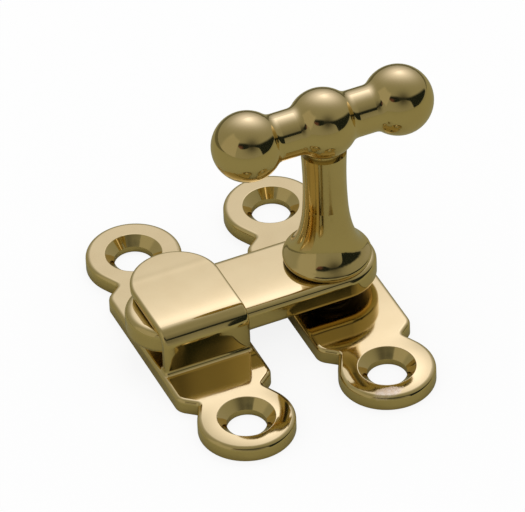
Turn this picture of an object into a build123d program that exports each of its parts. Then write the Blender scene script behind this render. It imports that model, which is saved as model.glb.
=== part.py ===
"""Thumb turn catch in polished brass: a turn on a screwed plate, and its hooked keeper.

Frame: origin on the underside of the pivot plate, midway between its two screw
holes, on the axis of the turn. +Z leaves the furniture, +Y runs along both
plates, and the closed latch bar points along -X into the keeper. Millimetres.
"""
from build123d import *
from math import acos, atan2, cos, hypot, sin, sqrt
import os

# Outline that both castings share
SCREW_SPACING = 35.4        # between the two screw holes of a plate
LOBE_R = 6.2                # round ear about each screw hole
BODY_HALF_WIDTH = 6.5       # straight sides of the plate
SHOULDER_START = 11.15      # from the plate's middle to where a shoulder begins
NOTCH_X = 4.45              # half width of the waist between body and ear
NOTCH_Y = 12.85             # from the plate's middle to the waist
SHOULDER_R = 1.9            # rounded corner of a shoulder
WAIST_R = 0.35              # small round in the notch
PLATE_T = 2.0
PLATE_EDGE_R = 0.6          # rolled top edge of the plates

# Countersunk screw holes, for No. 6 to No. 8 wood screws
SCREW_HOLE_R = 2.55
COUNTERSINK_R = 3.7
COUNTERSINK_ANGLE = 90
COUNTERSINK_LIP_R = 0.15

# Pivot in the pivot plate
BOSS_R = 3.4                # low seat for the spring washer
BOSS_H = 0.7
BOSS_EDGE_R = 0.25
JOURNAL_R = 2.0
JOURNAL_CLEARANCE = 0.05    # radial, between the journal and its bore
RECESS_R = 3.9              # counterbore in the underside, for washer and screw head
RECESS_DEPTH = 1.6

# Latch bar
BAR_GAP = 1.25              # from the plate's face to the underside of the bar
BAR_T = 3.45
BAR_HALF_WIDTH = 5.65
BAR_REACH = 22.0            # from the pivot to the centre of the rounded tip
BAR_OVERHANG = 0.7          # centre of the other rounded end, beyond the pivot
BAR_EDGE_R = 1.0            # rolled top edge
BAR_UNDER_R = 0.9           # and its fellow underneath
SQUARE = 4.0                # driving square of the post
SQUARE_FIT = 0.02           # clearance on each side of the square

# Keeper
KEEPER_X = -19.8
KEEPER_Y = -0.9
HOOK_HALF_WIDTH = 5.9
HOOK_T = 1.35               # the lip over the bar
WALL_T = 1.35               # the wall that stops the bar
STOP_CLEARANCE = 0.12       # between the closed bar and the wall
LIP_CLEARANCE = 0.15        # between the bar and the lip
LIP_END_Y = 8.5             # far end of the half-round lip
BEND_R = 2.1                # outside of the bend from wall to lip
BEND_INNER_R = 0.8
HOOK_EDGE_R = 0.45
WALL_FOOT_R = 0.6

# Handle post, a turned piece: radius at each height above the bar
FOOT_SEAT_R = 5.3
FOOT_RIM_R = 5.72
FOOT_RIM_H = 0.7
FOOT_TUCK = ((5.62, 0.15), (5.72, 0.4))         # poles of the curve from the bar to the rim
BELL_POLES = (                                  # and of the curve from the rim to the column
    (5.72, 1.16),
    (4.92, 1.42),
    (4.07, 1.72),
    (3.22, 4.17),
    (2.98, 6.99),
)
COLUMN_FOOT_R = 2.88        # where the bell runs out into the column
COLUMN_FOOT_H = 9.0
COLUMN_R = 2.79             # the column's slimmest ring
COLUMN_MIDDLE_H = 12.6
COLUMN_TOP_R = 2.93
COLUMN_H = 17.3             # from the bar to the top rim of the column
COLUMN_TOP_BEVEL = 0.25
NECK_R = 2.45               # shadow groove under the middle ball
TENON_R = 1.6
TENON_H = 2.5
TAPPED_HOLE_R = 1.5
TAPPED_HOLE_DEPTH = 6.5

# Crossbar, a turned piece with three equal balls
BALL_R = 4.55
BALL_SPACING = 10.4
BALL_Z = 28.45
LINK_R = 3.08               # the necks between the balls
LINK_FILLET_R = 1.6

# Retaining parts under the bar and in the recess of the plate
SPRING_WASHER_R = 3.2
SPRING_WASHER_HOLE_R = 2.2
SPRING_WASHER_T = 0.3
PLAIN_WASHER_R = 3.6
PLAIN_WASHER_HOLE_R = 1.6
PLAIN_WASHER_T = 0.4
SCREW_HEAD_R = 2.8
SCREW_HEAD_H = 1.0
SCREW_SHANK_R = 1.45
SCREW_SHANK_LENGTH = 5.5
SLOT_WIDTH = 0.8
SLOT_DEPTH = 0.5
END_PLAY = 0.05             # lets the turn swing without binding on the plate

# Heights that follow from these
BOSS_TOP = PLATE_T + BOSS_H
BAR_BOTTOM = PLATE_T + BAR_GAP
BAR_TOP = BAR_BOTTOM + BAR_T
LIP_BOTTOM = BAR_TOP + LIP_CLEARANCE
LIP_TOP = LIP_BOTTOM + HOOK_T
WALL_INNER_Y = -BAR_HALF_WIDTH - STOP_CLEARANCE
WALL_OUTER_Y = WALL_INNER_Y - WALL_T
JOURNAL_END = RECESS_DEPTH - END_PLAY
COLUMN_TOP = BAR_TOP + COLUMN_H
BALL_SEAT = BALL_Z - sqrt(BALL_R**2 - NECK_R**2)
WASHER_BOTTOM = JOURNAL_END - PLAIN_WASHER_T
ARCH_H = BAR_GAP - BOSS_H - SPRING_WASHER_T - END_PLAY
ARCH_R = (SPRING_WASHER_R**2 + ARCH_H**2) / (2 * ARCH_H)


def plate_outline():
    """The pair's outline in plan: a shouldered body with a round ear at each end."""
    ear_y = SCREW_SPACING / 2
    # each flank of an ear runs straight from the waist until it touches the ear's circle
    waist_to_ear = hypot(NOTCH_X, ear_y - NOTCH_Y)
    touch = acos(LOBE_R / waist_to_ear) - atan2(ear_y - NOTCH_Y, NOTCH_X)
    touch_x = LOBE_R * cos(touch)
    touch_y = ear_y + LOBE_R * sin(touch)
    with BuildSketch() as outline:
        with BuildLine():
            Polyline(
                (BODY_HALF_WIDTH, -SHOULDER_START),
                (BODY_HALF_WIDTH, SHOULDER_START),
                (NOTCH_X, NOTCH_Y),
                (touch_x, touch_y),
                (-touch_x, touch_y),
                (-NOTCH_X, NOTCH_Y),
                (-BODY_HALF_WIDTH, SHOULDER_START),
                (-BODY_HALF_WIDTH, -SHOULDER_START),
                (-NOTCH_X, -NOTCH_Y),
                (-touch_x, -touch_y),
                (touch_x, -touch_y),
                (NOTCH_X, -NOTCH_Y),
                close=True,
            )
        make_face()
        shoulders = [v for v in outline.vertices() if abs(v.X) > BODY_HALF_WIDTH - 0.01]
        fillet(shoulders, SHOULDER_R)
        with Locations((0, ear_y), (0, -ear_y)):
            Circle(LOBE_R)
        notches = [v for v in outline.vertices() if abs(abs(v.X) - NOTCH_X) < 0.1]
        fillet(notches, WAIST_R)
    return outline.sketch


def countersinks():
    """The two screw holes of the plate in hand, with a softened lip."""
    with Locations((0, SCREW_SPACING / 2, PLATE_T), (0, -SCREW_SPACING / 2, PLATE_T)):
        CounterSinkHole(SCREW_HOLE_R, COUNTERSINK_R, PLATE_T, COUNTERSINK_ANGLE)


def round_edges(part, height, radius):
    """The circular edges of one radius in the level face at a height."""
    level = part.edges().filter_by(GeomType.CIRCLE).filter_by_position(Axis.Z, height - 0.01, height + 0.01)
    return [e for e in level if abs(e.radius - radius) < 0.01]


def is_hook_rim(edge):
    """True for the edges that go round the hook's sides and lip, not the wall's foot."""
    spot = edge.center()
    if spot.Z < PLATE_T + 0.01:
        return False
    on_side = abs(abs(spot.X - KEEPER_X) - HOOK_HALF_WIDTH) < 0.01
    on_lip_end = edge.geom_type == GeomType.CIRCLE and abs(edge.radius - HOOK_HALF_WIDTH) < 0.01
    return on_side or on_lip_end


# Pivot plate: the screwed casting that carries the turn
with BuildPart() as pivot_plate:
    add(plate_outline())
    extrude(amount=PLATE_T)
    fillet(pivot_plate.faces().sort_by(Axis.Z)[-1].outer_wire().edges(), PLATE_EDGE_R)
    countersinks()
    fillet(round_edges(pivot_plate, PLATE_T, COUNTERSINK_R), COUNTERSINK_LIP_R)
    with BuildSketch(Plane.XY.offset(PLATE_T)):
        Circle(BOSS_R)
    extrude(amount=BOSS_H)
    fillet(round_edges(pivot_plate, BOSS_TOP, BOSS_R), BOSS_EDGE_R)
    with BuildSketch():
        Circle(RECESS_R)
    extrude(amount=RECESS_DEPTH, mode=Mode.SUBTRACT)
    with BuildSketch():
        Circle(JOURNAL_R + JOURNAL_CLEARANCE)
    extrude(amount=BOSS_TOP, mode=Mode.SUBTRACT)
pivot_plate.part.label = "pivot_plate"

# Keeper: the other casting, with a wall that stops the bar and a half-round lip over it
with BuildPart() as hook:
    # side view: the wall rises from the plate and bends over into the lip
    with BuildSketch(Plane.YZ.offset(KEEPER_X - HOOK_HALF_WIDTH)) as side_view:
        with BuildLine():
            Polyline(
                (WALL_OUTER_Y, PLATE_T),
                (WALL_OUTER_Y, LIP_TOP),
                (LIP_END_Y, LIP_TOP),
                (LIP_END_Y, LIP_BOTTOM),
                (WALL_INNER_Y, LIP_BOTTOM),
                (WALL_INNER_Y, PLATE_T),
                close=True,
            )
        make_face()
        fillet(side_view.vertices().sort_by_distance((WALL_OUTER_Y, LIP_TOP))[0], BEND_R)
        fillet(side_view.vertices().sort_by_distance((WALL_INNER_Y, LIP_BOTTOM))[0], BEND_INNER_R)
    extrude(amount=2 * HOOK_HALF_WIDTH)
    # plan view: straight sides that run into a half round over the far edge of the bar
    lip_centre_y = LIP_END_Y - HOOK_HALF_WIDTH
    with BuildSketch():
        with Locations((KEEPER_X, lip_centre_y)):
            Circle(HOOK_HALF_WIDTH)
            Rectangle(2 * HOOK_HALF_WIDTH, lip_centre_y - WALL_OUTER_Y, align=(Align.CENTER, Align.MAX))
    extrude(amount=LIP_TOP, mode=Mode.INTERSECT)
    rims = [e for e in hook.edges() if is_hook_rim(e)]
    fillet(rims, HOOK_EDGE_R)

with BuildPart() as keeper:
    add(plate_outline().moved(Location((KEEPER_X, KEEPER_Y, 0))))
    extrude(amount=PLATE_T)
    fillet(keeper.faces().sort_by(Axis.Z)[-1].outer_wire().edges(), PLATE_EDGE_R)
    with Locations((KEEPER_X, KEEPER_Y, 0)):
        countersinks()
    fillet(round_edges(keeper, PLATE_T, COUNTERSINK_R), COUNTERSINK_LIP_R)
    add(hook.part)
    foot = keeper.edges().filter_by_position(Axis.Z, PLATE_T - 0.01, PLATE_T + 0.01)
    foot = foot.filter_by_position(Axis.Y, WALL_OUTER_Y - 0.01, WALL_INNER_Y + 0.01)
    fillet(foot, WALL_FOOT_R)
keeper.part.label = "keeper"

# Latch bar: flat, with round ends, rolled along its top edge, driven by a square
with BuildPart() as latch_bar:
    with BuildSketch(Plane.XY.offset(BAR_BOTTOM)):
        with Locations((-BAR_REACH, 0), (BAR_OVERHANG, 0)):
            Circle(BAR_HALF_WIDTH)
        with Locations((BAR_OVERHANG, 0)):
            Rectangle(BAR_REACH + BAR_OVERHANG, 2 * BAR_HALF_WIDTH, align=(Align.MAX, Align.CENTER))
    extrude(amount=BAR_T)
    fillet(latch_bar.faces().sort_by(Axis.Z)[-1].outer_wire().edges(), BAR_EDGE_R)
    fillet(latch_bar.faces().sort_by(Axis.Z)[0].outer_wire().edges(), BAR_UNDER_R)
    with BuildSketch(Plane.XY.offset(BAR_BOTTOM)):
        Rectangle(SQUARE + 2 * SQUARE_FIT, SQUARE + 2 * SQUARE_FIT)
    extrude(amount=BAR_T, mode=Mode.SUBTRACT)
latch_bar.part.label = "latch_bar"

# Handle post: bell foot, slim column, driving square and the journal that turns in the plate
with BuildPart() as handle_post:
    with BuildSketch(Plane.XZ) as half_section:
        with BuildLine():
            Line((0, BAR_TOP), (FOOT_SEAT_R, BAR_TOP))
            # rolled rim, tucked under down to the bar
            Bezier(
                (FOOT_SEAT_R, BAR_TOP),
                *[(r, BAR_TOP + h) for r, h in FOOT_TUCK],
                (FOOT_RIM_R, BAR_TOP + FOOT_RIM_H),
            )
            # back over the rim, then the hollow sweep into the column
            Bezier(
                (FOOT_RIM_R, BAR_TOP + FOOT_RIM_H),
                *[(r, BAR_TOP + h) for r, h in BELL_POLES],
                (COLUMN_FOOT_R, BAR_TOP + COLUMN_FOOT_H),
            )
            ThreePointArc(
                (COLUMN_FOOT_R, BAR_TOP + COLUMN_FOOT_H),
                (COLUMN_R, BAR_TOP + COLUMN_MIDDLE_H),
                (COLUMN_TOP_R, COLUMN_TOP),
            )
            Polyline(
                (COLUMN_TOP_R, COLUMN_TOP),
                (NECK_R, COLUMN_TOP + COLUMN_TOP_BEVEL),
                (NECK_R, BALL_SEAT),
                (TENON_R, BALL_SEAT),
                (TENON_R, BALL_SEAT + TENON_H),
                (0, BALL_SEAT + TENON_H),
                (0, BAR_TOP),
            )
        make_face()
    revolve(axis=Axis.Z)
    with BuildSketch(Plane.XY.offset(BAR_BOTTOM)):
        Rectangle(SQUARE, SQUARE)
    extrude(amount=BAR_T)
    with BuildSketch(Plane.XY.offset(JOURNAL_END)):
        Circle(JOURNAL_R)
    extrude(amount=BAR_BOTTOM - JOURNAL_END)
    with BuildSketch(Plane.XY.offset(JOURNAL_END)):
        Circle(TAPPED_HOLE_R)
    extrude(amount=TAPPED_HOLE_DEPTH, mode=Mode.SUBTRACT)
handle_post.part.label = "handle_post"

# Crossbar: three balls turned in one piece with the links between them, seated on the post
with BuildPart() as crossbar:
    with BuildSketch(Plane.XZ) as half_section:
        with Locations(*[(x, BALL_Z) for x in (-BALL_SPACING, 0, BALL_SPACING)]):
            Circle(BALL_R)
        with Locations((0, BALL_Z)):
            Rectangle(2 * BALL_SPACING, 2 * LINK_R)
            Rectangle(
                2 * BALL_SPACING + 2 * BALL_R,
                BALL_R,
                align=(Align.CENTER, Align.MIN),
                mode=Mode.INTERSECT,
            )
        link_corners = [v for v in half_section.vertices() if abs(v.Y - BALL_Z - LINK_R) < 0.01]
        fillet(link_corners, LINK_FILLET_R)
    revolve(axis=Axis((0, 0, BALL_Z), (1, 0, 0)))
    with BuildSketch(Plane.XY.offset(BALL_SEAT)):
        Circle(NECK_R + JOURNAL_CLEARANCE)
    extrude(amount=-BALL_R, mode=Mode.SUBTRACT)
    with BuildSketch(Plane.XY.offset(BALL_SEAT)):
        Circle(TENON_R)
    extrude(amount=TENON_H, mode=Mode.SUBTRACT)
crossbar.part.label = "crossbar"

# Spring washer: a ring cut from a thin sheet that is bent to a shallow arch
with BuildPart() as spring_washer:
    with BuildSketch(Plane.XY.offset(BOSS_TOP)):
        Circle(SPRING_WASHER_R)
        Circle(SPRING_WASHER_HOLE_R, mode=Mode.SUBTRACT)
    extrude(amount=BAR_GAP)
    with BuildSketch(Plane.XZ) as sheet:
        with Locations((0, BAR_BOTTOM - ARCH_R - SPRING_WASHER_T)):
            Circle(ARCH_R + SPRING_WASHER_T)
            Circle(ARCH_R, mode=Mode.SUBTRACT)
    extrude(amount=SPRING_WASHER_R, both=True, mode=Mode.INTERSECT)
spring_washer.part.label = "spring_washer"

# Plain washer between the screw head and the end of the journal
with BuildPart() as plain_washer:
    with BuildSketch(Plane.XY.offset(WASHER_BOTTOM)):
        Circle(PLAIN_WASHER_R)
        Circle(PLAIN_WASHER_HOLE_R, mode=Mode.SUBTRACT)
    extrude(amount=PLAIN_WASHER_T)
plain_washer.part.label = "plain_washer"

# Retaining screw: slotted cheese head in the recess, shank up into the post
with BuildPart() as retaining_screw:
    with BuildSketch(Plane.XY.offset(WASHER_BOTTOM - SCREW_HEAD_H)):
        Circle(SCREW_HEAD_R)
    extrude(amount=SCREW_HEAD_H)
    with BuildSketch(Plane.XY.offset(WASHER_BOTTOM)):
        Circle(SCREW_SHANK_R)
    extrude(amount=SCREW_SHANK_LENGTH)
    with BuildSketch(Plane.XY.offset(WASHER_BOTTOM - SCREW_HEAD_H)):
        Rectangle(2 * SCREW_HEAD_R, SLOT_WIDTH)
    extrude(amount=SLOT_DEPTH, mode=Mode.SUBTRACT)
retaining_screw.part.label = "retaining_screw"

pieces = (
    pivot_plate,
    keeper,
    latch_bar,
    handle_post,
    crossbar,
    spring_washer,
    plain_washer,
    retaining_screw,
)
os.makedirs("parts", exist_ok=True)
for piece in pieces:
    export_step(piece.part, f"parts/{piece.part.label}.step")
    size = piece.part.bounding_box().size
    print(f"{piece.part.label}: {size.X:.2f} x {size.Y:.2f} x {size.Z:.2f} mm")
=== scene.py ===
"""Thumb turn catch in polished brass: finishes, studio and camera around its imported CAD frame.

Laid out as an add-on: property groups hold what a user would change, operators make
the finishes and the stage, and a panel in the sidebar lists them. Lengths in metres.
"""
from math import cos, radians, sin

import bpy
import numpy as np
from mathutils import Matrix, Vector


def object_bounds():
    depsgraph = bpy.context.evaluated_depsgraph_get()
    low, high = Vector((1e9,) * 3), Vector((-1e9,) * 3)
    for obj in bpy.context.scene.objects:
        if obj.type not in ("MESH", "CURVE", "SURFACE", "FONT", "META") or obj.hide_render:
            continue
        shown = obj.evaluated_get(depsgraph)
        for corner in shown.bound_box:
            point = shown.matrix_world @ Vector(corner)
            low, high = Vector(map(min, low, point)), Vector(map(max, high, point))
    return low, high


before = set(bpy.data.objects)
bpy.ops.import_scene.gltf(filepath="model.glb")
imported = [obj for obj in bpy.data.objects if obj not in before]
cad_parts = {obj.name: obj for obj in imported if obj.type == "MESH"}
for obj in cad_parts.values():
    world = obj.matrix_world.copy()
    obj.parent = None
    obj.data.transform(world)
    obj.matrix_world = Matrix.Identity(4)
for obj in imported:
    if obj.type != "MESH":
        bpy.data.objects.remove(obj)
CAD_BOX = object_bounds()

bl_info = {
    "name": "Thumb turn catch",
    "version": (1, 0, 0),
    "blender": (4, 5, 0),
    "location": "3D View > Sidebar > Turn catch",
    "description": "Dresses a polished brass thumb turn catch and its studio",
    "category": "Object",
}


# Settings that a user would change

class BrassSettings(bpy.types.PropertyGroup):
    """Colours and polish of the brass pieces."""

    cast_colour: bpy.props.FloatVectorProperty(
        name="Cast brass", description="Colour of the two castings and the latch bar",
        subtype="COLOR", size=3, min=0, max=1, default=(0.80, 0.63, 0.29))
    turned_colour: bpy.props.FloatVectorProperty(
        name="Turned brass", description="Colour of the post and the crossbar",
        subtype="COLOR", size=3, min=0, max=1, default=(0.79, 0.62, 0.285))
    tarnish_colour: bpy.props.FloatVectorProperty(
        name="Tarnish", description="Warmer brown that stays where the buff doesn't reach",
        subtype="COLOR", size=3, min=0, max=1, default=(0.56, 0.36, 0.12))
    roughness: bpy.props.FloatProperty(
        name="Roughness", description="Blur of the polish at its brightest",
        subtype="FACTOR", min=0, max=1, default=0.06)
    wave_length: bpy.props.FloatProperty(
        name="Wave length", description="Size of the shallow waves that hand polishing leaves",
        unit="LENGTH", min=0.0005, max=0.05, precision=5, default=0.006)
    wave_height: bpy.props.FloatProperty(
        name="Wave height", description="Height of those waves",
        unit="LENGTH", min=0, max=0.001, precision=6, default=0.00004)
    top_lean: bpy.props.FloatProperty(
        name="Top lean", description="How far the buffed tops of the castings lean towards +Y",
        unit="ROTATION", min=-0.3, max=0.3, default=radians(5.6))
    top_crown: bpy.props.FloatProperty(
        name="Top crown", description="How much that lean grows over a metre",
        unit="ROTATION", min=-40, max=40, default=radians(300))


class SteelSettings(bpy.types.PropertyGroup):
    """Colour and finish of the hidden steel pieces."""

    colour: bpy.props.FloatVectorProperty(
        name="Steel", description="Colour of the washers and the retaining screw",
        subtype="COLOR", size=3, min=0, max=1, default=(0.62, 0.62, 0.63))
    roughness: bpy.props.FloatProperty(
        name="Roughness", description="Blur of the plated steel",
        subtype="FACTOR", min=0, max=1, default=0.28)


class StudioSettings(bpy.types.PropertyGroup):
    """The light tent round the object, the floor and the camera."""

    glow_azimuth: bpy.props.FloatProperty(
        name="Glow azimuth", description="Direction of the soft light, from +Y towards +X",
        unit="ROTATION", default=radians(30))
    glow_elevation: bpy.props.FloatProperty(
        name="Glow elevation", description="Height of the soft light above the horizon",
        unit="ROTATION", default=radians(44))
    glow_width: bpy.props.FloatProperty(
        name="Glow width", description="Angle at which the soft light has faded to a third",
        unit="ROTATION", default=radians(29))
    glow_level: bpy.props.FloatProperty(
        name="Glow level", description="Brightness that the soft light adds at its middle",
        min=0, max=3, default=0.9)
    glow_colour: bpy.props.FloatVectorProperty(
        name="Glow colour", description="Daylight colour of the soft light",
        subtype="COLOR", size=3, min=0, max=2, default=(1.0, 1.03, 1.58))
    fill_level: bpy.props.FloatProperty(
        name="Fill level", description="Brightness of the tent away from the soft light",
        min=0, max=1, default=0.28)
    fill_colour: bpy.props.FloatVectorProperty(
        name="Fill colour", description="Colour of the tent away from the soft light",
        subtype="COLOR", size=3, min=0, max=2, default=(1.0, 0.985, 0.76))
    table_level: bpy.props.FloatProperty(
        name="Table level", description="Brightness of the floor in the metal",
        min=0, max=1, default=0.31)
    table_colour: bpy.props.FloatVectorProperty(
        name="Table colour", description="Colour of the floor in the metal",
        subtype="COLOR", size=3, min=0, max=2, default=(1.0, 0.98, 0.64))
    plain_light: bpy.props.FloatProperty(
        name="Plain light", description="Level of light that falls on the floor from all round",
        min=0, max=2, default=0.8)
    shadow_share: bpy.props.FloatProperty(
        name="Shadow share", description="How much of the floor's white follows the real light",
        subtype="FACTOR", min=0, max=1, default=0.14)
    background_in_metal: bpy.props.FloatProperty(
        name="Background in metal", description="Share of the white background that the metal shows "
        "in place of the tent and its table. The photograph's brass shows none of it",
        subtype="FACTOR", min=0, max=1, default=0.0)
    floor_half_width: bpy.props.FloatProperty(
        name="Floor half width", description="Half the side of the square floor",
        unit="LENGTH", min=0.1, max=50, default=4.0)
    camera_place: bpy.props.FloatVectorProperty(
        name="Camera place", description="Where the camera stands",
        subtype="XYZ", unit="LENGTH", size=3, precision=5, default=(-0.26475, -0.60791, 0.56627))
    camera_turn: bpy.props.FloatVectorProperty(
        name="Camera turn", description="The camera's rotation, X then Y then Z",
        subtype="EULER", unit="ROTATION", size=3, precision=4,
        default=(radians(49.832), radians(1.815), radians(-24.355)))
    camera_lens: bpy.props.FloatProperty(
        name="Focal length", description="Focal length on a 36 mm wide sensor",
        unit="CAMERA", min=10, max=2000, default=467.72)


# Node building

WHITE = (1.0, 1.0, 1.0, 1.0)


class Nodes:
    """Short calls to place and join shader nodes in one tree."""

    def __init__(self, tree):
        self.tree = tree

    def add(self, kind, values=None, **inputs):
        """A node of one kind. values sets its own fields, and inputs its sockets, by value or link."""
        node = self.tree.nodes.new(kind)
        for field, value in (values or {}).items():
            setattr(node, field, value)
        for socket, value in inputs.items():
            self.set(node, socket.replace("_", " "), value)
        return node

    def set(self, node, socket, value):
        """Gives a socket, by name or number, a value or a link."""
        target = node.inputs[socket]
        if isinstance(value, bpy.types.NodeSocket):
            self.tree.links.new(value, target)
        else:
            target.default_value = value

    def set_in_order(self, node, values, first=0):
        """Gives sockets their values or links in order, from a first one on."""
        for i, value in enumerate(values, first):
            self.set(node, i, value)

    def math(self, operation, *terms, clamp=False):
        """One Math node and its result."""
        node = self.add("ShaderNodeMath", {"operation": operation, "use_clamp": clamp})
        self.set_in_order(node, terms)
        return node.outputs[0]

    def product(self, first, *others):
        """A number times one or more others."""
        for other in others:
            first = self.math("MULTIPLY", first, other)
        return first

    def bell(self, value):
        """e to the power of minus a number squared."""
        return self.math("EXPONENT", self.product(self.product(value, value), -1.0))

    def ramp(self, value, low, high, to_low=0.0, to_high=1.0):
        """A smooth step of a value, from one level to another."""
        node = self.add("ShaderNodeMapRange", {"interpolation_type": "SMOOTHSTEP"}, Value=value,
                        From_Min=low, From_Max=high, To_Min=to_low, To_Max=to_high)
        return node.outputs[0]

    def curve(self, value, points):
        """A smooth curve through (value, result) points, given in ascending order."""
        xs, ys = zip(*points)
        low, high = min(ys), max(ys)
        node = self.add("ShaderNodeFloatCurve", Value=self.math(
            "DIVIDE", self.math("SUBTRACT", value, xs[0]), xs[-1] - xs[0], clamp=True))
        line = node.mapping.curves[0]
        spots = [((x - xs[0]) / (xs[-1] - xs[0]), (y - low) / (high - low)) for x, y in points]
        line.points[0].location, line.points[1].location = spots[0], spots[-1]
        for spot in spots[1:-1]:
            line.points.new(*spot)
        node.mapping.update()
        return self.math("MULTIPLY_ADD", node.outputs[0], high - low, low)

    def noise(self, place, scale, detail, roughness):
        """A cloudy number between 0 and 1 that changes over the surface."""
        return self.add("ShaderNodeTexNoise", Vector=place, Scale=scale, Detail=detail,
                        Roughness=roughness).outputs[0]

    def vector(self, operation, *terms):
        """One Vector Math node, with its number for a dot product or length, or else its vector."""
        node = self.add("ShaderNodeVectorMath", {"operation": operation})
        self.set_in_order(node, terms)
        return node.outputs["Value" if operation in ("DOT_PRODUCT", "LENGTH") else "Vector"]

    def scaled(self, vector, factor):
        """A vector times a number."""
        return self.add("ShaderNodeVectorMath", {"operation": "SCALE"}, Vector=vector, Scale=factor).outputs[0]

    def parts(self, vector):
        """The X, Y and Z of a vector."""
        return self.add("ShaderNodeSeparateXYZ", Vector=vector).outputs

    def mix(self, share, first, second):
        """Two colours mixed by a share."""
        node = self.add("ShaderNodeMix", {"data_type": "RGBA"}, Factor=share)
        self.set_in_order(node, (first, second), first=6)
        return node.outputs[2]

    def mix_shader(self, share, first, second):
        """Two shaders mixed by a share."""
        node = self.add("ShaderNodeMixShader")
        self.set_in_order(node, (share, first, second))
        return node.outputs[0]


def new_group(name, inputs, outputs):
    """An empty shader group with typed sockets. Inputs are given as name: (kind, default)."""
    group = bpy.data.node_groups.new(name, "ShaderNodeTree")
    for title, (kind, default) in inputs.items():
        socket = group.interface.new_socket(title, in_out="INPUT", socket_type=f"NodeSocket{kind}")
        socket.default_value = default
    for title, kind in outputs.items():
        group.interface.new_socket(title, in_out="OUTPUT", socket_type=f"NodeSocket{kind}")
    build = Nodes(group)
    return group, build, build.add("NodeGroupInput").outputs, build.add("NodeGroupOutput")


def shared_group(make):
    """The group that a function makes, made once."""
    name = make.__name__.removesuffix("_group")
    return bpy.data.node_groups.get(name) or make()


def empty_nodes(block):
    """The node tree of a new material or world, with nothing in it."""
    block.use_nodes = True
    block.node_tree.nodes.clear()
    return Nodes(block.node_tree)


def colour4(colour):
    """A three-part colour with full alpha."""
    return (*colour, 1.0)


# Relief that hand polishing leaves
LEAN_END = 0.008                # the tops lean no further beyond this y
EDGE_AT, EDGE_FADE = -0.0045, 0.0014
RIPPLE_AT, RIPPLE_WIDTH = 0.0046, 0.0006
ABOVE_PLATES = (0.0028, 0.0034)  # heights over which the bar and the hook begin
HOOK_TOP = (0.0072, 0.0078)     # and over which the hook's top does
DOME_END = (0.001, 0.005)       # an ear's dome fades out over these y beyond its hole
DOME_SHARES = (1.0, 0.75, 0.0)  # of the dome's turn that goes sideways, along the plate and up


def hand_polish_group():
    """What buffing by hand leaves: shallow waves as a height, and faces that lean a little.

    Level faces lean towards +Y by lean + crown * y, y at most 8 mm, less
    drop * exp(-(y + 4.5 mm) / 1.4 mm)
    on what stands above the plates. Faces towards -Y lean up by rise. Both turn sideways by
    crown * x from the piece's middle, the level ones half as much, and the upright ones also
    by roll * x cubed, which rounds off their sides. An ear is domed by dome * r squared times
    the way from its hole, three quarters as much along the plate, on its side towards -Y, and
    a faint ripple crosses the hook at y = 4.6 mm.
    """
    group, b, given, out = new_group(
        "hand_polish",
        {"Wave Length": ("Float", 0.006), "Wave Height": ("Float", 0.00004), "Lean": ("Float", 0.0),
         "Crown": ("Float", 0.0), "Edge Drop": ("Float", 0.0), "Wall Rise": ("Float", 0.0),
         "Side Crown": ("Float", 0.0), "Side Roll": ("Float", 0.0), "Side Middle": ("Float", 0.0),
         "Ripple": ("Float", 0.0), "Ear Middle": ("Vector", (0, 0, 0)), "Ear Dome": ("Float", 0.0)},
        {"Height": "Float", "Normal": "Vector"})
    spot = b.add("ShaderNodeTexCoord").outputs
    place, normal = spot["Object"], spot["Normal"]
    x, y, z = b.parts(place)
    facing = b.parts(normal)
    level = b.ramp(facing[2], 0.8, 0.97)
    wall = b.ramp(facing[1], -0.97, -0.8, 1.0, 0.0)

    waves = b.noise(place, b.math("DIVIDE", 1.0, given["Wave Length"]), 1.0, 0.4)
    b.set(out, "Height", b.product(waves, given["Wave Height"]))

    # level faces: lean and crown, the drop at the edge and the ripple
    fade = b.math("EXPONENT", b.math("DIVIDE", b.math("SUBTRACT", y, EDGE_AT), -EDGE_FADE))
    drop = b.product(fade, given["Edge Drop"], b.ramp(z, *ABOVE_PLATES))
    lean = b.math("MULTIPLY_ADD", b.math("MINIMUM", y, LEAN_END), given["Crown"], given["Lean"])
    lean = b.math("SUBTRACT", lean, drop)
    across = b.math("DIVIDE", b.math("SUBTRACT", y, RIPPLE_AT), RIPPLE_WIDTH)
    ripple = b.product(across, b.bell(across), given["Ripple"])
    lean = b.math("MULTIPLY_ADD", ripple, b.ramp(z, *HOOK_TOP), lean)

    # sideways: the crown of level and upright faces, and the roll of upright ones
    aside = b.math("SUBTRACT", x, given["Side Middle"])
    crowned = b.product(aside, given["Side Crown"], b.math("MULTIPLY_ADD", level, 0.5, wall))
    rolled = b.product(b.math("POWER", aside, 3.0), given["Side Roll"], wall)
    offset = b.add("ShaderNodeCombineXYZ", X=b.math("ADD", crowned, rolled), Y=b.product(lean, level),
                   Z=b.product(wall, given["Wall Rise"])).outputs[0]

    # the dome of an ear
    from_hole = b.vector("MULTIPLY", b.vector("SUBTRACT", place, given["Ear Middle"]), (1, 1, 0))
    beyond = b.math("SUBTRACT", y, b.parts(given["Ear Middle"])[1])
    dome = b.product(b.vector("DOT_PRODUCT", from_hole, from_hole), given["Ear Dome"],
                     level, b.ramp(beyond, *DOME_END, 1.0, 0.0))
    domed = b.scaled(b.vector("MULTIPLY", from_hole, DOME_SHARES), dome)

    leaning = b.vector("NORMALIZE", b.vector("ADD", normal, b.vector("ADD", offset, domed)))
    turned = b.add("ShaderNodeVectorTransform", {"vector_type": "NORMAL", "convert_from": "OBJECT",
                                                 "convert_to": "WORLD"}, Vector=leaning)
    b.set(out, "Normal", turned.outputs[0])
    return group


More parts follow.
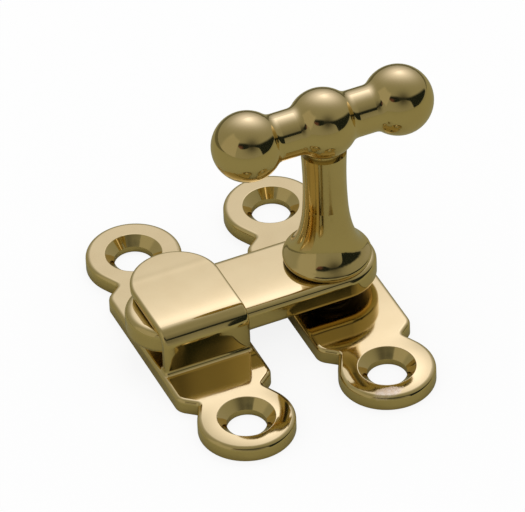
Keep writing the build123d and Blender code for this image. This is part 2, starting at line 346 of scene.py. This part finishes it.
# Tone: clouds, painted shade in the corners, and the worn patch with its painted sheen
CLOUD_SCALE, MOTTLE_SCALE = 260.0, 1500.0
CLOUD_TARNISH = 0.10            # most of the tarnish colour that the clouds bring
CLOUD_BLUR = 0.04               # and the roughness that they add
CORNER_REACH = 0.0026           # how far round a spot the corners are felt for
# Painted shade in the corners: how closed in the deepest of them is, and the most painted shade there
DEEPEST, MOST_PAINTED_SHADE = 0.10, 0.97
UNDERSIDES_END = (0.0028, 0.0031)  # heights over which what faces down may take painted shade
# Extra blur where the painted shade lies, and on the worn patch
PAINTED_SHADE_BLUR, WORN_BLUR = 0.22, 0.2
WORN_MIDDLE = (-0.0020, -0.0224, 0.002)
WORN_RADII = (0.0020, 0.0010, 0.0007)
WORN_EDGE = (0.7, 1.15)         # in radii of the patch
WORN_BREAKUP = 1.4
# The worn patch's tones are paler than the brass: wear, with a painted sheen
WORN_AND_SHEEN_TONES = (0.90, 0.70, 0.42, 1), (1.0, 0.84, 0.56, 1)


def brass_tone_group():
    """Colour and blur of brass: faint cloudy tone, black painted shade deep in the corners, and one
    worn patch whose polish is gone, painted paler as a painted sheen.

    The painted shade follows how closed in a spot is, from the deepest corner to the shade's start
    setting. The worn patch is an oval on the near ear whose edge a fine noise breaks up.
    """
    # The near-black corner colour among these inputs is painted shade
    group, b, given, out = new_group(
        "brass_tone",
        {"Clean": ("Color", (0.8, 0.63, 0.29, 1)), "Tarnish": ("Color", (0.56, 0.36, 0.12, 1)),
         "Painted Shade": ("Color", (0.04, 0.034, 0.02, 1)), "Roughness": ("Float", 0.06),
         "Grime Start": ("Float", 0.46), "Worn Share": ("Float", 0.0)},
        {"Color": "Color", "Roughness": "Float"})
    spot = b.add("ShaderNodeTexCoord").outputs
    place = spot["Object"]
    clouds = b.noise(place, CLOUD_SCALE, 3.0, 0.55)
    toned = b.mix(b.ramp(clouds, 0.35, 0.75, 0.0, CLOUD_TARNISH), given["Clean"], given["Tarnish"])

    # Painted shade: the near-black colour laid where the corners close round a spot
    corner = b.add("ShaderNodeAmbientOcclusion", {"samples": 16}, Distance=CORNER_REACH)
    painted_shade = b.ramp(corner.outputs["AO"], DEEPEST, given["Grime Start"], MOST_PAINTED_SHADE, 0.0)
    # but not on the undersides of the plates, which the floor only seems to enclose
    shown = b.math("MAXIMUM", b.ramp(b.parts(spot["Normal"])[2], -0.8, -0.4),
                   b.ramp(b.parts(place)[2], *UNDERSIDES_END))
    painted_shade = b.product(painted_shade, shown)

    radii_off = b.vector("LENGTH", b.vector("DIVIDE", b.vector("SUBTRACT", place, WORN_MIDDLE), WORN_RADII))
    mottle = b.noise(place, MOTTLE_SCALE, 3.0, 0.6)
    radii_off = b.math("MULTIPLY_ADD", b.math("SUBTRACT", mottle, 0.5), WORN_BREAKUP, radii_off)
    worn = b.product(b.ramp(radii_off, *WORN_EDGE, 1.0, 0.0), given["Worn Share"])
    # Paler mottled tones on the worn patch: a painted sheen over the wear
    bare_sheen = b.mix(b.ramp(mottle, 0.4, 0.6), *WORN_AND_SHEEN_TONES)
    b.set(out, "Color", b.mix(worn, b.mix(painted_shade, toned, given["Painted Shade"]), bare_sheen))

    blur = b.math("ADD", given["Roughness"], b.ramp(clouds, 0.3, 0.8, 0.0, CLOUD_BLUR))
    blur = b.math("MULTIPLY_ADD", painted_shade, PAINTED_SHADE_BLUR, blur)
    b.set(out, "Roughness", b.math("MULTIPLY_ADD", worn, WORN_BLUR, blur))
    return group


def metal_material(name, colour, tarnish, tone, relief):
    """Polished metal: tone and relief from the shared groups on one metallic shader."""
    material = bpy.data.materials.new(name)
    b = empty_nodes(material)
    polish = b.add("ShaderNodeGroup", {"node_tree": shared_group(hand_polish_group)}, **relief).outputs
    toned = b.add("ShaderNodeGroup", {"node_tree": shared_group(brass_tone_group)},
                  Clean=colour4(colour), Tarnish=colour4(tarnish), **tone).outputs
    bump = b.add("ShaderNodeBump", Height=polish["Height"], Distance=1.0, Strength=1.0,
                 Normal=polish["Normal"])
    shader = b.add("ShaderNodeBsdfPrincipled", Metallic=1.0, Base_Color=toned["Color"],
                   Roughness=toned["Roughness"], Normal=bump.outputs[0])
    b.add("ShaderNodeOutputMaterial", Surface=shader.outputs[0])
    return material


def finish_nodes(names, material):
    """Puts a material on CAD nodes."""
    for name in names:
        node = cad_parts[name]
        node.data.materials.clear()
        node.data.materials.append(material)


# Operators for the pieces

# How buffing has shaped each casting in its own way, on top of what all three share
WALL_RISE = radians(6)
EDGE_DROP = radians(8)
EAR_DOME = 1.2e6
CASTING_RELIEF = {
    "pivot_plate": {"Side_Crown": 3.0, "Ear_Middle": (0.0, -0.0177, 0.0), "Ear_Dome": EAR_DOME},
    "keeper": {"Edge_Drop": EDGE_DROP, "Side_Crown": 8.0, "Side_Roll": 2.2e6, "Side_Middle": -0.0198,
               "Ripple": 0.04, "Ear_Middle": (-0.0198, -0.0186, 0.0), "Ear_Dome": EAR_DOME},
    "latch_bar": {"Edge_Drop": EDGE_DROP},
}
WORN_CASTING = "pivot_plate"

# A lathe leaves finer waves, and the painted shade reaches further out of the turned grooves
TURNED_WAVES = 0.3
TURNED_SHADE_START = 0.78


class TURNCATCH_OT_castings(bpy.types.Operator):
    """Polished finish of the pivot plate, the keeper and the latch bar"""

    bl_idname = "turn_catch.castings"
    bl_label = "Finish the castings"

    def execute(self, context):
        brass = context.scene.turn_catch_brass
        for name, own_relief in CASTING_RELIEF.items():
            relief = {"Wave_Length": brass.wave_length, "Wave_Height": brass.wave_height,
                      "Lean": brass.top_lean, "Crown": brass.top_crown, "Wall_Rise": WALL_RISE, **own_relief}
            tone = {"Roughness": brass.roughness, "Worn_Share": float(name == WORN_CASTING)}
            material = metal_material(f"{name}_brass", brass.cast_colour, brass.tarnish_colour, tone, relief)
            finish_nodes((name,), material)
        return {"FINISHED"}


class TURNCATCH_OT_turnings(bpy.types.Operator):
    """Polished finish of the post and the three-ball crossbar"""

    bl_idname = "turn_catch.turnings"
    bl_label = "Finish the turnings"

    def execute(self, context):
        brass = context.scene.turn_catch_brass
        relief = {"Wave_Length": brass.wave_length, "Wave_Height": brass.wave_height * TURNED_WAVES}
        tone = {"Roughness": brass.roughness, "Grime_Start": TURNED_SHADE_START}
        material = metal_material("turned_brass", brass.turned_colour, brass.tarnish_colour, tone, relief)
        finish_nodes(("handle_post", "crossbar"), material)
        return {"FINISHED"}


class TURNCATCH_OT_fixings(bpy.types.Operator):
    """Plated finish of the spring washer, the plain washer and the retaining screw"""

    bl_idname = "turn_catch.fixings"
    bl_label = "Finish the fixings"

    def execute(self, context):
        steel = context.scene.turn_catch_steel
        material = metal_material("steel", steel.colour, steel.colour,
                                  {"Roughness": steel.roughness}, {"Wave_Height": 0.0})
        finish_nodes(("spring_washer", "plain_washer", "retaining_screw"), material)
        return {"FINISHED"}


# Studio. Directions of the tent are in degrees: bearings from +Y towards +X, then elevations

GLOW_CORE, CORE_WIDTH = 0.4, 9          # the glow's brighter middle
PANEL_LEFT, PANEL_RIGHT = (-122, -119), (-72, -58)
PANEL_TOP = (50, 58)
PANEL_LIGHT = (0.095, 0.085, 0.075)
SHADE_MIDDLE, SHADE_WIDTH, SHADE_DEPTH = (183, 37), 22, 0.8
OPENING_TOP = (
    (86, 3), (100, 13), (120, 23), (135, 29), (150, 33), (165, 37), (180, 41), (195, 45),
    (210, 47.5), (225, 47), (236, 45), (244, 38))
OPENING_BOTTOM = (
    (86, 3), (105, 2), (120, 1), (135, -1), (148, -3), (154, -1), (156, 6), (158, 18),
    (162, 25.5), (168, 29), (178, 34), (190, 35), (200, 32.5), (210, 30), (225, 29.5),
    (235, 33), (244, 38))
OPENING_STARTS, OPENING_ENDS = (86, 94), (236, 242)
TOP_SOFTNESS, BOTTOM_SOFTNESS = (-5.0, 3.5), (-1.0, 1.5)
NECK_STARTS, NECK_ENDS = (166, 180), (190, 203)
NECK_LIGHT = 0.22
WARM_FROM, WARM_BELOW = (214, 226), (33, 43)
OPENING_TONE, WARM_TONE = (0.012, 0.016, 0.014, 1), (0.12, 0.055, 0.045, 1)

TABLE_END = (0.09, 0.13)                # y over which the table in the metal darkens
TABLE_END_LEVEL = 0.45
FLOOR_WHITE = (0.97, 0.97, 0.97, 1)
FLOOR_GAP = 0.00005                     # below the plates, so that nothing flickers

LAMP_DIRECTION, LAMP_DISTANCE = (30, 60), 0.9
LAMP_SIZE, LAMP_WATTS = 0.6, 1.6


def direction(bearing, elevation):
    """Unit vector of a direction in degrees: bearing from +Y towards +X, elevation above the floor."""
    a, e = radians(bearing), radians(elevation)
    return Vector((sin(a) * cos(e), cos(a) * cos(e), sin(e)))


def angle_from(b, look, middle):
    """The angle between the way a ray goes and a fixed direction."""
    return b.math("ARCCOSINE", b.vector("DOT_PRODUCT", look, middle))


def tent_colour(b, studio):
    """The tent that the metal shows, as a colour of the direction alone.

    Fill colour plus glow * (bell(angle / width) + core), where bell(t) = exp(-t squared), plus
    the paler panel; then darkened round the camera by depth * bell(angle / width); then the
    dark opening where the elevation lies between its two edges.
    """
    look = b.vector("NORMALIZE", b.add("ShaderNodeTexCoord").outputs["Generated"])
    look_x, look_y, look_z = b.parts(look)
    azimuth = b.math("ARCTAN2", look_x, look_y)
    height = b.math("ARCSINE", look_z)

    # the soft glow, with its brighter core
    a, e = studio.glow_azimuth, studio.glow_elevation
    away = angle_from(b, look, (sin(a) * cos(e), cos(a) * cos(e), sin(e)))
    glow = b.bell(b.math("DIVIDE", away, studio.glow_width))
    core = b.bell(b.math("DIVIDE", away, radians(CORE_WIDTH)))
    glow = b.math("MULTIPLY_ADD", core, GLOW_CORE, glow)
    light = b.vector("ADD", b.scaled(Vector(studio.glow_colour) * studio.glow_level, glow),
                     Vector(studio.fill_colour) * studio.fill_level)

    # the paler panel at the left, bounded by planes through the middle of the tent
    panel = b.product(
        b.ramp(azimuth, *map(radians, PANEL_LEFT)),
        b.ramp(azimuth, *map(radians, PANEL_RIGHT), 1.0, 0.0),
        b.ramp(height, *map(radians, PANEL_TOP), 1.0, 0.0))
    light = b.vector("ADD", light, b.scaled(PANEL_LIGHT, panel))

    # the tent is in shade towards the camera
    shade = b.bell(b.math("DIVIDE", angle_from(b, look, direction(*SHADE_MIDDLE)), radians(SHADE_WIDTH)))
    light = b.scaled(light, b.math("SUBTRACT", 1.0, b.product(shade, SHADE_DEPTH)))

    # the dark opening between two edges, which the camera looks through at its left end
    full_turn = radians(360)
    bearing = b.math("DEGREES", b.math("MODULO", b.math("ADD", azimuth, full_turn), full_turn))
    elevation = b.math("DEGREES", height)
    below_top = b.math("SUBTRACT", b.curve(bearing, OPENING_TOP), elevation)
    above_bottom = b.math("SUBTRACT", elevation, b.curve(bearing, OPENING_BOTTOM))
    dark = b.product(
        b.ramp(below_top, *TOP_SOFTNESS), b.ramp(above_bottom, *BOTTOM_SOFTNESS),
        b.ramp(bearing, *OPENING_STARTS), b.ramp(bearing, *OPENING_ENDS, 1.0, 0.0))
    # narrow between its wide right part and the lens, where more light gets in
    neck = b.product(b.ramp(bearing, *NECK_STARTS), b.ramp(bearing, *NECK_ENDS, 1.0, 0.0))
    dark = b.product(dark, b.math("SUBTRACT", 1.0, b.product(neck, NECK_LIGHT)))
    # a warm tint low at its left end
    warm = b.product(b.ramp(bearing, *WARM_FROM), b.ramp(elevation, *WARM_BELOW, 1.0, 0.0))
    return b.mix(dark, light, b.mix(warm, OPENING_TONE, WARM_TONE))


def light_tent(studio):
    """World: white behind the object, a plain level on the floor, and in the metal a light
    tent with one soft glow, a paler side panel, and the dark opening at its front."""
    world = bpy.data.worlds.new("light_tent")
    bpy.context.scene.world = world
    b = empty_nodes(world)
    path = b.add("ShaderNodeLightPath").outputs
    seen = b.math("MAXIMUM", path["Is Camera Ray"], path["Is Transmission Ray"])
    plain = colour4((studio.plain_light,) * 3)
    in_metal = b.mix(studio.background_in_metal, tent_colour(b, studio), WHITE)
    colour = b.mix(path["Is Glossy Ray"], b.mix(seen, plain, WHITE), in_metal)
    back = b.add("ShaderNodeBackground", Color=colour, Strength=1.0)
    b.add("ShaderNodeOutputWorld", Surface=back.outputs[0])


def floor_material(studio):
    """White to the camera, with the object's faint shadow; a mid-toned table in the metal,
    which glossy rays see; and clear from below, so that the underside can be looked at."""
    material = bpy.data.materials.new("floor")
    b = empty_nodes(material)
    path = b.add("ShaderNodeLightPath").outputs
    seen = b.math("MAXIMUM", path["Is Camera Ray"], path["Is Transmission Ray"])
    seen = b.math("MAXIMUM", seen, b.product(path["Is Glossy Ray"], studio.background_in_metal))
    white = b.add("ShaderNodeEmission", Strength=1.0, Color=WHITE).outputs[0]
    shaded = b.add("ShaderNodeBsdfDiffuse", Color=FLOOR_WHITE).outputs[0]
    to_camera = b.mix_shader(studio.shadow_share, white, shaded)
    # the table ends a little way behind the object
    behind = b.parts(b.add("ShaderNodeTexCoord").outputs["Object"])[1]
    lit = Vector(studio.table_colour) * studio.table_level
    tone = b.mix(b.ramp(behind, *TABLE_END), colour4(lit), colour4(lit * TABLE_END_LEVEL))
    table = b.add("ShaderNodeBsdfDiffuse", Color=tone).outputs[0]
    by_ray = b.mix_shader(seen, b.mix_shader(path["Is Glossy Ray"], shaded, table), to_camera)
    # a ray that came up through the floor goes down through it again
    clear = b.add("ShaderNodeBsdfTransparent").outputs[0]
    passed = b.math("GREATER_THAN", path["Transparent Depth"], 0.5)
    under = b.math("MAXIMUM", b.add("ShaderNodeNewGeometry").outputs["Backfacing"], passed)
    b.add("ShaderNodeOutputMaterial", Surface=b.mix_shader(under, by_ray, clear))
    return material


def new_object(name, data):
    """An object with its data, placed in the scene."""
    made = bpy.data.objects.new(name, data)
    bpy.context.scene.collection.objects.link(made)
    return made


def lay_floor(studio):
    """One square face just below the plates."""
    half = studio.floor_half_width
    corners = np.array([[-half, -half], [half, -half], [half, half], [-half, half]])
    heights = np.full(len(corners), CAD_BOX[0][2] - FLOOR_GAP)
    mesh = bpy.data.meshes.new("floor")
    mesh.from_pydata(np.column_stack([corners, heights]).tolist(), [], [(0, 1, 2, 3)])
    mesh.materials.append(floor_material(studio))
    floor = new_object("floor", mesh)


def hang_lamp():
    """A soft round lamp that gives the shadow and stays out of the metal."""
    lamp_data = bpy.data.lights.new("soft_lamp", "AREA")
    lamp_data.shape = "DISK"
    lamp_data.size = LAMP_SIZE
    lamp_data.energy = LAMP_WATTS
    lamp = new_object("soft_lamp", lamp_data)
    towards = direction(*LAMP_DIRECTION)
    lamp.location = towards * LAMP_DISTANCE
    lamp.rotation_euler = towards.to_track_quat("Z", "Y").to_euler()
    lamp.visible_camera = False
    lamp.visible_glossy = False


def place_camera(studio):
    """The camera, where the photograph's stood."""
    camera_data = bpy.data.cameras.new("camera")
    camera_data.sensor_width = 36
    camera_data.lens = studio.camera_lens
    camera_data.clip_start, camera_data.clip_end = 0.01, 20
    camera = new_object("camera", camera_data)
    camera.location = studio.camera_place
    camera.rotation_euler = studio.camera_turn
    bpy.context.scene.camera = camera


class TURNCATCH_OT_studio(bpy.types.Operator):
    """The floor, the light tent, the soft lamp and the camera"""

    bl_idname = "turn_catch.studio"
    bl_label = "Set the studio"

    def execute(self, context):
        studio = context.scene.turn_catch_studio
        light_tent(studio)
        lay_floor(studio)
        hang_lamp()
        place_camera(studio)
        context.scene.view_settings.view_transform = "Standard"
        return {"FINISHED"}


class TURNCATCH_PT_panel(bpy.types.Panel):
    """Lists the settings and the operators"""

    bl_idname = "TURNCATCH_PT_panel"
    bl_label = "Thumb turn catch"
    bl_space_type = "VIEW_3D"
    bl_region_type = "UI"
    bl_category = "Turn catch"

    def draw(self, context):
        scene = context.scene
        for settings, operators in (
            (scene.turn_catch_brass, (TURNCATCH_OT_castings, TURNCATCH_OT_turnings)),
            (scene.turn_catch_steel, (TURNCATCH_OT_fixings,)),
            (scene.turn_catch_studio, (TURNCATCH_OT_studio,)),
        ):
            box = self.layout.box()
            for name in settings.__annotations__:
                box.prop(settings, name)
            for operator in operators:
                box.operator(operator.bl_idname)


SETTINGS = {
    "turn_catch_brass": BrassSettings,
    "turn_catch_steel": SteelSettings,
    "turn_catch_studio": StudioSettings,
}
OPERATORS = (TURNCATCH_OT_castings, TURNCATCH_OT_turnings, TURNCATCH_OT_fixings, TURNCATCH_OT_studio)


def register():
    for name, group in SETTINGS.items():
        bpy.utils.register_class(group)
        setattr(bpy.types.Scene, name, bpy.props.PointerProperty(type=group))
    for cls in (*OPERATORS, TURNCATCH_PT_panel):
        bpy.utils.register_class(cls)


def unregister():
    for cls in reversed((*OPERATORS, TURNCATCH_PT_panel)):
        bpy.utils.unregister_class(cls)
    for name, group in SETTINGS.items():
        delattr(bpy.types.Scene, name)
        bpy.utils.unregister_class(group)


def main():
    register()
    bpy.ops.turn_catch.castings()
    bpy.ops.turn_catch.turnings()
    bpy.ops.turn_catch.fixings()
    bpy.ops.turn_catch.studio()


if __name__ == "__main__":
    main()
